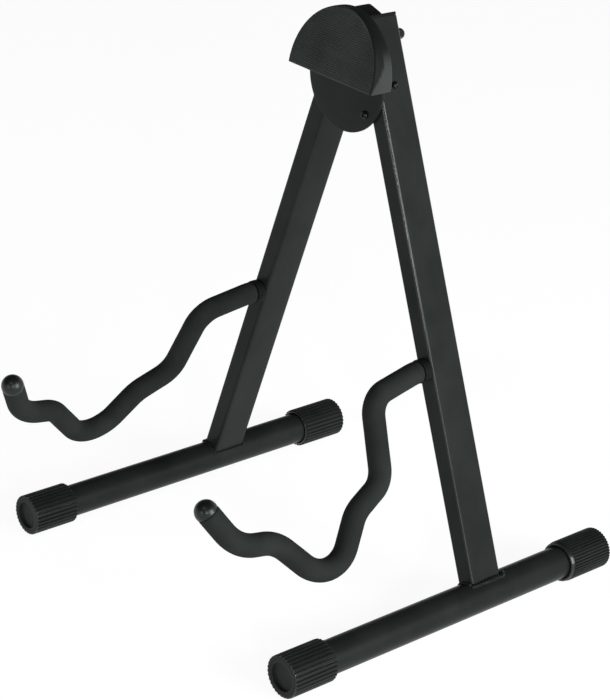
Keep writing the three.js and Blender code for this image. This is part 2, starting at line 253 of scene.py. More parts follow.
class Graph:
    """Adds and joins the nodes of one shader tree."""

    def __init__(self, tree: Tree) -> None:
        """Takes the tree to work in."""
        self.tree = tree

    def add(self, kind: str, inputs: Optional[dict] = None, **settings) -> bpy.types.Node:
        """Adds a node.

        Args:
            kind: The node's type, such as "ShaderNodeTexNoise".
            inputs: Input names or numbers to a constant, or to the output socket that feeds them.
            **settings: The node's own settings.

        Returns:
            The node.
        """
        node = self.tree.nodes.new(kind)
        for key, value in settings.items():
            setattr(node, key, value)
        for key, value in (inputs or {}).items():
            if isinstance(value, Socket):
                self.tree.links.new(value, node.inputs[key])
            else:
                node.inputs[key].default_value = value
        return node

    def maths(self, operation: str, a, b=0.0) -> Socket:
        """The result of one Math node."""
        return self.add("ShaderNodeMath", {0: a, 1: b}, operation=operation).outputs[0]

    def spread(self, value, low: float, high: float, to_low=0.0, to_high=1.0) -> Socket:
        """A value carried from one range to another, and held at its ends."""
        inputs = {"Value": value, "From Min": low, "From Max": high, "To Min": to_low, "To Max": to_high}
        return self.add("ShaderNodeMapRange", inputs).outputs["Result"]

    def mix(self, share, a, b) -> Socket:
        """A colour between two colours. A Mix node's colours are its inputs 6 and 7 and its output 2."""
        return self.add("ShaderNodeMix", {"Factor": share, 6: a, 7: b}, data_type="RGBA").outputs[2]

    def noise(self, vector, scale, detail: float = 2.0, roughness: float = 0.5) -> Socket:
        """The height of a noise pattern."""
        inputs = {"Vector": vector, "Scale": scale, "Detail": detail, "Roughness": roughness}
        return self.add("ShaderNodeTexNoise", inputs).outputs[0]

    def group(self, tree: Tree, **inputs) -> bpy.types.bpy_prop_collection:
        """The outputs of one use of a shader group. An underscore in an input's name stands for a space."""
        named = {label.replace("_", " "): value for label, value in inputs.items()}
        return self.add("ShaderNodeGroup", named, node_tree=tree).outputs

    def feed(self, node: bpy.types.Node, **values) -> None:
        """Joins output sockets to a node's inputs. An underscore in an input's name stands for a space."""
        for label, value in values.items():
            self.tree.links.new(value, node.inputs[label.replace("_", " ")])


def shader_group(name: str, takes: dict[str, object], gives: dict[str, object]) -> tuple[Tree, Graph]:
    """Starts a shader group with named inputs and outputs.

    Args:
        name: The group's name.
        takes: Input names to their default values: a number, a colour of four numbers, or None for a vector.
        gives: Output names to a value of their kind.

    Returns:
        The group and a graph to fill it with. Its input and output nodes, "In" and "Out", are there already.
    """
    tree = bpy.data.node_groups.new(name, "ShaderNodeTree")
    for way, sockets in (("INPUT", takes), ("OUTPUT", gives)):
        for label, value in sockets.items():
            kind = "Vector" if value is None else "Color" if isinstance(value, tuple) else "Float"
            socket = tree.interface.new_socket(label, in_out=way, socket_type=f"NodeSocket{kind}")
            if value is not None:
                socket.default_value = value
    tree.nodes.new("NodeGroupInput").name = "In"
    tree.nodes.new("NodeGroupOutput").name = "Out"
    return tree, Graph(tree)


class Effects:
    """The surface effects that several finishes share, each built once."""

    BLACK = (0.01, 0.01, 0.01, 1.0)
    DUST = (0.30, 0.30, 0.28, 1.0)

    def __init__(self) -> None:
        """Builds the groups."""
        self.grain = self._grain()
        self.mottle = self._mottle()
        self.scuffs = self._scuffs()
        self.dust = self._dust()

    @staticmethod
    def _grain() -> Tree:
        """Moulded or sprayed grain: fine noise plus a coarser one that swells and sinks under it."""
        tree, g = shader_group("fine_grain", {"Vector": None, "Scale": 1500.0, "Swell": 0.35}, {"Height": 0.0})
        take = tree.nodes["In"].outputs
        fine = g.noise(take["Vector"], take["Scale"], 3.0, 0.6)
        coarse = g.noise(take["Vector"], g.maths("MULTIPLY", take["Scale"], 0.22), 1.0)
        g.feed(tree.nodes["Out"], Height=g.maths("ADD", fine, g.maths("MULTIPLY", coarse, take["Swell"])))
        return tree

    @classmethod
    def _mottle(cls) -> Tree:
        """Slow changes of shade and polish: wide noise blends two colours and two roughnesses."""
        tree, g = shader_group(
            "mottled_finish", {"Vector": None, "Scale": 30.0, "Color A": cls.BLACK, "Color B": cls.BLACK,
                               "Polish A": 0.4, "Polish B": 0.5}, {"Color": cls.BLACK, "Roughness": 0.5})
        take = tree.nodes["In"].outputs
        wide = g.spread(g.noise(take["Vector"], take["Scale"], 3.0, 0.55), 0.34, 0.66)
        span = g.maths("SUBTRACT", take["Polish B"], take["Polish A"])
        g.feed(tree.nodes["Out"], Color=g.mix(wide, take["Color A"], take["Color B"]),
               Roughness=g.maths("ADD", take["Polish A"], g.maths("MULTIPLY", wide, span)))
        return tree

    @staticmethod
    def _scuffs() -> Tree:
        """Hair-fine scuffs: noise stretched along one way, cut to its thin crests and broken by a wide mask."""
        tree, g = shader_group("hairline_scuffs", {"Vector": None, "Scale": 240.0, "Amount": 0.5}, {"Mask": 0.0})
        take = tree.nodes["In"].outputs
        stretch = {"Vector": take["Vector"], "Rotation": (0.4, 0.9, 0.6), "Scale": (1, 0.06, 1)}
        lines = g.noise(g.add("ShaderNodeMapping", stretch).outputs[0], take["Scale"], 2.0, 0.7)
        crest = g.spread(g.maths("ABSOLUTE", g.maths("SUBTRACT", lines, 0.5)), 0.012, 0.0)
        patch = g.spread(g.noise(take["Vector"], 45.0, 2.0), 0.5, 0.68)
        g.feed(tree.nodes["Out"], Mask=g.maths("MULTIPLY", g.maths("MULTIPLY", crest, patch), take["Amount"]))
        return tree

    @classmethod
    def _dust(cls) -> Tree:
        """Dust that sits in specks and patches: two noises added, laid over the colour and the roughness."""
        tree, g = shader_group(
            "settled_dust", {"Vector": None, "Color": cls.BLACK, "Roughness": 0.5, "Amount": 0.05},
            {"Color": cls.BLACK, "Roughness": 0.5})
        take = tree.nodes["In"].outputs
        specks = g.spread(g.noise(take["Vector"], 1100.0, 1.0), 0.62, 0.72)
        patch = g.spread(g.noise(take["Vector"], 22.0, 3.0), 0.42, 0.7)
        cover = g.maths("ADD", g.maths("MULTIPLY", specks, 0.6), g.maths("MULTIPLY", patch, 0.4))
        share = g.maths("MULTIPLY", cover, take["Amount"])
        g.feed(tree.nodes["Out"], Color=g.mix(share, take["Color"], cls.DUST),
               Roughness=g.maths("ADD", take["Roughness"], g.maths("MULTIPLY", share, 0.8)))
        return tree


# ---- finishes

Colour = tuple[float, float, float]
REFLECTION_TINT = (0.86, 1.0, 0.96, 1)


@dataclass(frozen=True)
class Finish:
    """One material of the stand.

    Attributes:
        slot: The record's material slot.
        shade: Base colour where the finish is darkest.
        bloom: Base colour where it is lightest.
        polish: Roughness at its two ends.
        grain: Grain features per metre.
        grain_height: Height of the grain, in millimetres.
        specular: Specular level.
        coat: Weight of a clear outer coat.
        coat_polish: Roughness of that coat.
        rubbed: Weight of the coat where the attribute "corner" is 1, as on edges rubbed glossy, or 0 for none.
        scuffs: Strength of hairline scuffs.
        dust: Strength of settled dust.
        variant: A word for the material's name, where two finishes share a slot.
    """

    slot: str
    shade: Colour
    bloom: Colour
    polish: tuple[float, float]
    grain: float = 1500.0
    grain_height: float = 0.02
    specular: float = 0.5
    coat: float = 0.0
    coat_polish: float = 0.17
    rubbed: float = 0.0
    scuffs: float = 0.0
    dust: float = 0.03
    variant: str = ""

    def colour(self, g: Graph, colour: Socket) -> Socket:
        """A place for a finish to change its colour over the surface. A plain finish leaves it."""
        return colour

    def height(self, g: Graph, vector: Socket, height: Socket) -> Socket:
        """A place for a finish to add relief of its own. A plain finish leaves it."""
        return height

    def material(self, effects: Effects) -> bpy.types.Material:
        """Builds the finish's material.

        Args:
            effects: The shared effects.

        Returns:
            The material.
        """
        made = bpy.data.materials.new(f"{self.slot}_{self.variant}" if self.variant else self.slot)
        made.use_nodes = True
        g = Graph(made.node_tree)
        shader = made.node_tree.nodes["Principled BSDF"]
        for label, value in (("Specular IOR Level", self.specular), ("Specular Tint", REFLECTION_TINT),
                             ("Coat Weight", self.coat), ("Coat Roughness", self.coat_polish)):
            shader.inputs[label].default_value = value
        if self.rubbed:
            corner = g.add("ShaderNodeAttribute", attribute_name="corner").outputs["Fac"]
            g.feed(shader, Coat_Weight=g.spread(corner, 0.0, 1.0, self.coat, self.rubbed))
        vector = g.add("ShaderNodeTexCoord").outputs["Object"]
        mottle = g.group(effects.mottle, Vector=vector, Color_A=(*self.shade, 1), Color_B=(*self.bloom, 1),
                         Polish_A=self.polish[0], Polish_B=self.polish[1])
        roughness = mottle["Roughness"]
        if self.scuffs:
            scuffs = g.group(effects.scuffs, Vector=vector, Amount=self.scuffs)
            roughness = g.maths("ADD", roughness, scuffs["Mask"])
        dust = g.group(effects.dust, Vector=vector, Color=self.colour(g, mottle["Color"]), Roughness=roughness,
                       Amount=self.dust)
        grain = g.group(effects.grain, Vector=vector, Scale=self.grain)["Height"]
        relief = {"Height": self.height(g, vector, grain), "Strength": 1.0, "Distance": self.grain_height * MM}
        bump = g.add("ShaderNodeBump", relief)
        g.feed(shader, Base_Color=dust["Color"], Roughness=dust["Roughness"], Normal=bump.outputs["Normal"])
        return made


@dataclass(frozen=True)
class PadRubber(Finish):
    """The pad's rubber: pale and cellular, with painted shade, a darker colour, where a vertex attribute marks it."""

    # Colour of the painted shade on the pad's wall and rims.
    painted_shade: Colour = (0.0035, 0.0042, 0.0040)

    def colour(self, g: Graph, colour: Socket) -> Socket:
        """Blends to the painted shade's darker colour where the shade attribute is 1."""
        painted_shade = g.add("ShaderNodeAttribute", attribute_name="painted_shade").outputs["Fac"]
        return g.mix(painted_shade, colour, (*self.painted_shade, 1))


@dataclass(frozen=True)
class CellFoam(Finish):
    """Closed-cell foam: small round cells pressed into a soft skin."""

    def height(self, g: Graph, vector: Socket, height: Socket) -> Socket:
        """Adds cells: the distance to scattered points, so that each cell is a shallow dimple."""
        cells = g.add("ShaderNodeTexVoronoi", {"Vector": vector, "Scale": 900.0}).outputs["Distance"]
        return g.maths("ADD", height, g.maths("MULTIPLY", cells, 0.9))


POWDER_COAT = Finish("black_powder_coat", (0.0098, 0.0113, 0.011), (0.0134, 0.0153, 0.0148), (0.3, 0.38),
    grain=900.0, grain_height=0.009, specular=0.06, coat=0.05, rubbed=0.9, dust=0.012, scuffs=0.08)
RUBBER = Finish("black_rubber", (0.0085, 0.0098, 0.0095), (0.0125, 0.0144, 0.0139), (0.5, 0.62),
    grain=2600.0, grain_height=0.012, specular=0.08, coat=0.08, rubbed=0.8, dust=0.02)
DARK_RUBBER = Finish("black_rubber", (0.0045, 0.0052, 0.005), (0.007, 0.008, 0.0078), (0.5, 0.62),
    grain=2600.0, grain_height=0.012, specular=0.06, dust=0.02, variant="dark")
PAD_RUBBER = PadRubber("pad_rubber", (0.026, 0.0297, 0.0288), (0.037, 0.0423, 0.041), (0.55, 0.68),
    grain=1900.0, grain_height=0.03, specular=0.1)
FOAM = CellFoam("black_foam", (0.012, 0.0138, 0.0133), (0.019, 0.0218, 0.0211), (0.74, 0.86),
    grain=1300.0, grain_height=0.03, specular=0.08, dust=0.02)
GLOSS_PLASTIC = Finish("gloss_black_plastic", (0.004, 0.0046, 0.0045), (0.0055, 0.0064, 0.0062), (0.29, 0.35),
    grain_height=0.006, specular=0.34, dust=0.015, scuffs=0.1)
PLUG_PLASTIC = Finish("gloss_black_plastic", (0.0035, 0.004, 0.0039), (0.0048, 0.0055, 0.0053), (0.42, 0.5),
    grain_height=0.006, specular=0.08, dust=0.015, variant="matt")
BLACK_ZINC = Finish("black_zinc_steel", (0.0025, 0.0029, 0.003), (0.004, 0.0046, 0.0048), (0.14, 0.2),
    grain=2200.0, grain_height=0.003, specular=0.1, coat=0.3, coat_polish=0.1, dust=0.01, scuffs=0.12)
NYLON = Finish("nylon", (0.6, 0.58, 0.52), (0.68, 0.66, 0.6), (0.45, 0.55), grain=1200.0, grain_height=0.008)
FINISHES = (POWDER_COAT, RUBBER, DARK_RUBBER, PAD_RUBBER, FOAM, GLOSS_PLASTIC, PLUG_PLASTIC, BLACK_ZINC, NYLON)


# ---- workshop


def add_object(name: str, data: bpy.types.ID) -> bpy.types.Object:
    """Makes an object and puts it in the scene."""
    made = bpy.data.objects.new(name, data)
    bpy.context.scene.collection.objects.link(made)
    return made


class Workshop:
    """Makes pieces: writes a surface, dresses it, and puts it on its body."""

    def __init__(self, nodes: dict[str, bpy.types.Object]) -> None:
        """Builds every finish's material and keeps the CAD nodes."""
        effects = Effects()
        self.nodes = nodes
        self.materials = {finish: finish.material(effects) for finish in FINISHES}

    def piece(self, name: str, surface: Surface, finish: Finish, body: str, *stands_for: str,
              padded: Optional[float] = None, smooth_angle: float = 35.0,
              marks: Optional[dict[str, np.ndarray]] = None) -> None:
        """Makes one piece.

        Args:
            name: The piece's name.
            surface: Its shape, in the stand's frame.
            finish: Its finish.
            body: The body that it rides on.
            *stands_for: CAD nodes that it replaces.
            padded: Fill, for a soft piece. Not used.
            smooth_angle: Edges that turn more than this stay sharp.
            marks: Named values for each vertex that the finish reads.
        """
        made = add_object(name, surface.mesh(name, smooth_angle))
        made.data.materials.append(self.materials[finish])
        for label, values in (marks or {}).items():
            attribute = made.data.attributes.new(label, "FLOAT", "POINT")
            attribute.data.foreach_set("value", np.asarray(values, np.float32).ravel())
        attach(made, body)
        if stands_for:
            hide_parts(*stands_for)
        log.info("%s: %d faces on %s", name, len(made.data.polygons), body)

    def refine(self, name: str, surface: Surface, finish: Finish, body: str, **more) -> None:
        """Makes the piece that replaces the CAD node of the given name, as piece() does."""
        self.piece(f"{name}_fine", surface, finish, body, name, **more)

    def dress(self, finish: Finish, *names: str) -> None:
        """Gives CAD nodes that stay in view a finish."""
        for name in names:
            node = self.nodes[name]
            node.data.materials.clear()
            node.data.materials.append(self.materials[finish])
            log.info("%s: dressed in %s", name, finish.slot)


# ---- base


@dataclass
class FootCap:
    """A ribbed rubber cap on a base tube's end, with a rim and a sunk centre on its closed face.

    Attributes:
        length: From the closed face to the open end.
        ribs: Ribs round it.
        r: Radius over the ribs.
        depth: Depth of the grooves between them.
        collar: Length of the plain collar at the open end.
        collar_r: The collar's radius.
        bore: Radius of the hole for the tube.
        floor: Depth of the closed end, from the face.
        sunk: Depth of the sunk centre.
    """

    length: float
    ribs: int
    r: float = 16.0
    depth: float = 1.15
    collar: float = 0.7
    collar_r: float = 14.9
    bore: float = 13.0
    floor: float = 5.0
    sunk: float = 2.3

    def surface(self, place: Place) -> tuple[Surface, np.ndarray]:
        """The profile turned about Y, with grooves cut where a row is ribbed.

        A groove's depth at angle a is a smooth step of the distance from the middle of the nearest rib, so a
        rib has a flat crest and soft flanks.

        Args:
            place: The cap's frame, its closed face at y = 0 and its open end at y = length.

        Returns:
            The cap, and for each vertex how rubbed it is: 1 on the rim of the open end, less on the face's.
        """
        r, c, bore, end, lip = self.r, self.collar_r, self.bore, self.length, self.length - self.collar
        face = [(9.9, self.sunk), (10.3, 2.2), (10.5, 1.9), (10.5, 0.45), (10.6, 0.15), (10.9, 0.0), (14.6, 0.0),
                (15.2, 0.05)]
        grooved = [(15.62, 0.2), (15.88, 0.5), (r - 0.02, 0.95), (r, 1.6), (r, end / 2), (r, lip - 0.7),
                   (r - 0.04, lip - 0.25)]
        shut = [(c + 0.1, lip), (c, lip + 0.12), (c, end - 0.75), (c - 0.18, end - 0.3), (c - 0.6, end - 0.03),
                (bore + 0.5, end), (bore + 0.05, end - 0.4), (bore, end - 1), (bore, self.floor + 0.6),
                (bore - 0.5, self.floor)]
        profile = face + grooved + shut
        first, last = len(face), len(face) + len(grooved)
        share, rim = np.zeros((2, len(profile)))
        share[first - 1:last] = [0.35, 0.7, 0.95, 1, 1, 1, 1, 0.85]
        rim[first - 1:first + 2] = 0.7
        rim[last + 2:last + 5] = 1
        columns = self.ribs * RIB_COLUMNS
        rows = revolve(profile, columns)
        phase = np.arange(columns) / RIB_COLUMNS
        groove = smoothstep(0.24, 0.40, np.abs(phase - np.round(phase)))
        radius = np.array([p[0] for p in profile])
        rows[..., [0, 2]] *= (1 - self.depth * share[:, None] * groove / radius[:, None])[..., None]
        marks = np.concatenate([np.repeat(rim, columns), [0, 0]])
        return Surface(place(rows), place.on_y(self.sunk, self.floor)), marks


@dataclass
class Base:
    """One base tube with its two foot caps."""

    side: Side
    wall: float = 1.5
    front: float = -135.85
    rear: float = 187.45
    end_wall: float = 5.3
    cap_lengths: dict[End, float] = field(default_factory=lambda: {End.FRONT: 39.2, End.REAR: 43.2})

    def build(self, shop: Workshop) -> None:
        """Makes the tube and its caps."""
        x = self.side.value * HALF_SPREAD
        outer, inner = BASE_R, BASE_R - self.wall
        first, last, edge = self.front + self.end_wall, self.rear - self.end_wall, 0.3
        stops = np.linspace(first + edge, last - edge, 9)
        profile = [(inner, first), (outer - edge, first), *[(outer, y) for y in stops], (outer - edge, last),
                   (inner, last)]
        tube = Surface(Place.about_y([x, 0, BASE_Z])(revolve(profile)), ring=True)
        shop.refine(f"{self.side.label}_base_tube", tube, POWDER_COAT, self.side.body)
        for end, length in self.cap_lengths.items():
            ahead = end is End.FRONT
            near_rear = self.side is Side.RIGHT and not ahead
            cap = FootCap(length, ribs=42, collar=3.6, collar_r=15.4) if near_rear else FootCap(length, ribs=30)
            turn = np.diag([1.0, 1, 1]) if ahead else np.diag([-1.0, -1, 1])
            where = Place(np.array([x, self.front if ahead else self.rear, BASE_Z]), turn)
            surface, rim = cap.surface(where)
            shop.refine(f"{self.side.label}_{end.value}_foot_cap", surface, RUBBER, self.side.body,
                        smooth_angle=50, marks={"corner": rim})


# ---- legs


@dataclass
class Leg:
    """One leaning leg: a rectangular tube, its moulded top plug and the weld round its foot."""

    side: Side
    w: float = 15.0
    d: float = 30.0
    wall: float = 1.3
    corner: float = 2.0
    lean: float = 19.84
    length: float = 436.3
    pivot: float = 420.0
    y: float = 61.55
    flange: float = 2.0
    rubbed: float = 1.0

    @property
    def place(self) -> Place:
        """The leg's frame: +Z up the leg from the base tube's axis."""
        sign = self.side.value
        return Place.about_y([sign * HALF_SPREAD, self.y, BASE_Z], -sign * self.lean)

    def point(self, x: float, y: float, along: float) -> np.ndarray:
        """A point of the leg's frame in the stand's frame."""
        return self.place(np.array([x, y, along]))

    def tube(self) -> tuple[Surface, np.ndarray]:
        """The tube's wall, from its coped foot to its top.

        A foot point at x stands at the height sqrt(r^2 - x^2) of the base tube's round side.

        Returns:
            The wall, outside and inside, and for each vertex how rubbed it is: 1 in the middle of a corner near
            the top outside, less towards the foot, and 0 on the flats.
        """
        top = self.length - self.flange - 0.45
        outline = rounded_rectangle(self.w, self.d, self.corner)
        inside = rounded_rectangle(self.w - 2 * self.wall, self.d - 2 * self.wall, self.corner - self.wall)
        rows = []
        for ring, levels in ((outline, (0, 0.02, 0.3, 0.6, 0.9, 0.998)), (inside, (1, 0.6, 0.3, 0))):
            foot = np.sqrt((BASE_R + 0.06) ** 2 - ring[:, 0] ** 2)
            rows += [lifted(ring, foot + (top - foot) * share) for share in levels]
        lip = rounded_rectangle(self.w - 0.4, self.d - 0.4, self.corner - 0.2)
        rows.insert(6, lifted(lip, top))
        corner = np.tile(np.concatenate([np.sin(np.linspace(0, np.pi, 9)), np.zeros(5)]), 4)
        worn = self.rubbed * np.array([0.12, 0.12, 0.15, 0.7, 1, 1, 1])
        marks = np.concatenate([np.outer(worn, corner).ravel(), np.zeros(4 * len(corner))])
        return Surface(self.place(np.stack(rows)), ring=True), marks

    def plug(self) -> Surface:
        """The top plug: a skirt inside the tube, a neck, a flange on the tube's edge and a slightly crowned top."""
        top, under = self.length, self.length - self.flange
        slim, neck, bottom = 2 * (self.wall + GAP), 0.9, under - 8
        rows = []
        for inset, z in ((slim, bottom), (slim, under - 0.4), (neck, under - 0.38), (neck, under), (0.3, under),
                         (0.0, under + 0.15), (0.0, top - 0.9), (0.18, top - 0.42), (0.6, top - 0.12),
                         (1.2, top - 0.02), (4.0, top), (9.0, top)):
            corner = max(self.corner - inset / 2, 0.5)
            rows.append(lifted(rounded_rectangle(self.w - inset, self.d - inset, corner), z))
        return Surface(self.place(np.stack(rows)), (self.point(0, 0, bottom), self.point(0, 0, top)))

    def weld(self) -> Surface:
        """The weld bead: a rippled round bead carried along the foot of the tube where it meets the base tube.

        The bead's middle runs round the outline a little outside the tube's wall, at the height of the base
        tube's side, with a tail past the outer rear corner. Its radius grows and shrinks with a short ripple, as
        overlapping drops do, and is largest on the outer side.

        Returns:
            The bead, a closed loop.
        """
        outline = rounded_rectangle(self.w + 1.5, self.d + 1.5, self.corner + 0.75, 16, 90)
        run = run_along(outline)
        tail = np.exp(-((outline - [self.side.value * 8.2, 15.7]) ** 2).sum(1) / 9)
        outline = outline + tail[:, None] * [0, 2.6]
        height = np.sqrt((BASE_R + 0.2) ** 2 - np.clip(outline[:, 0], -12, 12) ** 2)
        middle = lifted(outline, height)
        along = unit(np.roll(middle, -1, 0) - np.roll(middle, 1, 0))
        out = lifted(outline * [2, 1], 0)
        out = unit(out - (out * along).sum(1)[:, None] * along)
        outer = smoothstep(0.3, 1.0, outline[:, 0] * self.side.value * 2 / self.w)
        ripple = 1.15 + 0.5 * np.abs(np.sin(run * 1.15 + 0.8 * np.sin(run * 0.31))) + 0.2 * np.sin(run * 0.23 + 1)
        a = circle(20)
        lumps = 1 + 0.10 * np.sin(run[:, None] * 2.3 + 2 * a) + 0.06 * np.sin(run[:, None] * 5.1 - 3 * a)
        radius = (ripple * (0.62 + 0.75 * outer))[:, None] * lumps
        ring = rings(out, np.cross(along, out), a)
        return Surface(self.place(middle[:, None] + ring * radius[..., None]), ring=True)

    def build(self, shop: Workshop) -> None:
        """Makes the tube, plug and weld."""
        label, body = self.side.label, self.side.body
        tube, corner = self.tube()
        shop.refine(f"{label}_leg_tube", tube, POWDER_COAT, body, marks={"corner": corner})
        shop.refine(f"{label}_leg_top_plug", self.plug(), PLUG_PLASTIC, body)
        shop.piece(f"{label}_leg_weld", self.weld(), POWDER_COAT, body, smooth_angle=60)


# ---- cradle arms


@dataclass
class Arm:
    """One cradle arm: a bent rod in a foam sleeve, with a collar at the leg and a domed tip."""

    leg: Leg
    height: float
    outer: Sequence[tuple[float, float, float]]
    inner: Sequence[tuple[float, float, float]] = (
        (3, 0, 0), (26, 0, 60), (71, -8, 19.5), (80.5, -67.5, 20.5), (110.5, -82, 30), (144.5, -128.5, 26))
    twist: float = 4.6
    rod_r: float = 4.0
    foam_r: float = 8.5
    collar_r: float = 9.0
    collar: float = 7.0
    straight: float = 1.5
    step: float = 1.25

    @property
    def place(self) -> Place:
        """The arm's frame: -Y forward and +Z up its own plane, from its hole in the leg's front."""
        sign = self.leg.side.value
        return Place.about_y(self.leg.point(0, 0, self.height), -sign * (self.leg.lean + self.twist))

    def centreline(self) -> np.ndarray:
        """Straight runs joined by round bends, at even steps.

        Each bend's arc starts and ends at r tan(turn / 2) from its corner, about a centre at r beside the run.

        Returns:
            Points (forward, up) along the arm.
        """
        corners = np.array([*self.inner, *self.outer], float)
        points = [corners[:1, :2]]
        for before, corner, after in zip(corners[:-2], corners[1:-1], corners[2:]):
            into, out = unit(corner[:2] - before[:2]), unit(after[:2] - corner[:2])
            turn = math.atan2(into[0] * out[1] - into[1] * out[0], into @ out)
            start = corner[:2] - into * corner[2] * math.tan(abs(turn) / 2)
            side = math.copysign(1, turn)
            centre = start + side * corner[2] * np.array([-into[1], into[0]])
            first = math.atan2(*(start - centre)[::-1])
            a = first + np.linspace(0, turn, 24)
            points.append(centre + corner[2] * np.column_stack([np.cos(a), np.sin(a)]))
        points.append(corners[-1:, :2])
        line = np.concatenate(points)
        run = run_along(line)
        even = np.linspace(0, run[-1], int(run[-1] / self.step))
        return np.column_stack([np.interp(even, run, line[:, k]) for k in range(2)])

    def sleeve(self) -> Surface:
        """The foam sleeve: a round section carried along the centreline, a little uneven, with soft ends.

        The radius is the foam's radius times 1 plus three slow waves along and round the arm, and it draws in
        over the last millimetre at each end. The bore runs back through it.

        Returns:
            The sleeve.
        """
        line = self.centreline()
        run = run_along(line)
        first = self.leg.d / 2 + GAP + self.collar + GAP - line[0, 0]
        last = run[-1] - self.straight - GAP
        ends = np.array([0, 0.12, 0.35, 0.7, 1.2, 2.0])
        even = np.linspace(first + 3, last - 3, 300)
        stops = np.concatenate([first + ends, even, (last - ends)[::-1]])
        drop = np.interp(np.minimum(stops - first, last - stops), ends, [1.1, 0.7, 0.38, 0.15, 0.03, 0])
        at = np.column_stack([np.interp(stops, run, line[:, k]) for k in range(2)])
        ahead = unit(np.gradient(at, stops, axis=0))
        flat = np.zeros(len(at))
        middle = np.column_stack([flat, -at[:, 0], at[:, 1]])[:, None]
        normal = np.column_stack([flat, ahead[:, 1], ahead[:, 0]])
        a = circle(56)
        s = stops[:, None]
        waves = 0.004 * np.sin(s / 17 + 2 * np.cos(a)) + 0.003 * np.sin(s / 7.3 + a * 2) + 0.002 * np.sin(s / 3.1 - a)
        radius = self.foam_r * (1 + waves - 0.006) - drop[:, None]
        ring = rings(normal, np.array([[1.0, 0, 0]]), a)
        bore = middle + ring * (self.rod_r + 0.35)
        return Surface(self.place(np.concatenate([middle + ring * radius[..., None], bore[::-6], bore[:1]])), ring=True)

    def collar_surface(self) -> Surface:
        """The collar between the sleeve and the leg: a ring with soft edges and one shallow groove."""
        near, far = -(self.leg.d / 2 + GAP), -(self.leg.d / 2 + GAP + self.collar)
        r, bore = self.collar_r, self.rod_r + GAP
        profile = [(bore, far), *arc((r - 1.2, far + 1.2), 1.2, -90, 0), (r, far + 2.2), (r - 0.25, far + 2.5),
                   (r - 0.25, far + 2.9), (r, far + 3.2), *arc((r - 0.5, near - 0.5), 0.5, 0, 90, 3), (bore, near)]
        return Surface(self.place(revolve(profile)), ring=True)

    def tip(self) -> Surface:
        """The domed tip: a quarter circle turned about the arm's last run, with a fine step at its seam."""
        corners = np.array([*self.inner, *self.outer], float)
        run = corners[-1, :2] - corners[-2, :2]
        climb = math.atan2(run[1], run[0])
        r, s = self.foam_r, self.straight
        bore, inner = self.rod_r + GAP, -s - 3.5
        dome = [(max(x, 0.02), y) for x, y in arc((0, -s), r, -88, 0, 22)]
        profile = [*dome, (r, -s * 0.5), (r - 0.12, -s * 0.4), (r - 0.12, -0.2), (r - 0.3, 0), (bore, 0),
                   (bore, inner)]
        c, t = math.cos(climb), math.sin(climb)
        last_run = Place(np.array([0, -corners[-1, 0] + s * c, corners[-1, 1] - s * t]),
                         np.array([[1, 0, 0], [0, c, t], [0, -t, c]]))
        ends = [self.place(point) for point in last_run.on_y(-s - r, inner)]
        return Surface(self.place(last_run(revolve(profile))), tuple(ends))

    def build(self, shop: Workshop) -> None:
        """Makes the sleeve, collar and tip, and dresses the rod."""
        label, body = self.leg.side.label, self.leg.side.body
        shop.refine(f"{label}_arm_foam", self.sleeve(), FOAM, body, padded=0.9)
        shop.refine(f"{label}_arm_collar", self.collar_surface(), DARK_RUBBER, body)
        shop.refine(f"{label}_arm_tip", self.tip(), GLOSS_PLASTIC, body)
        shop.dress(POWDER_COAT, f"{label}_arm_rod")


# ---- hinge


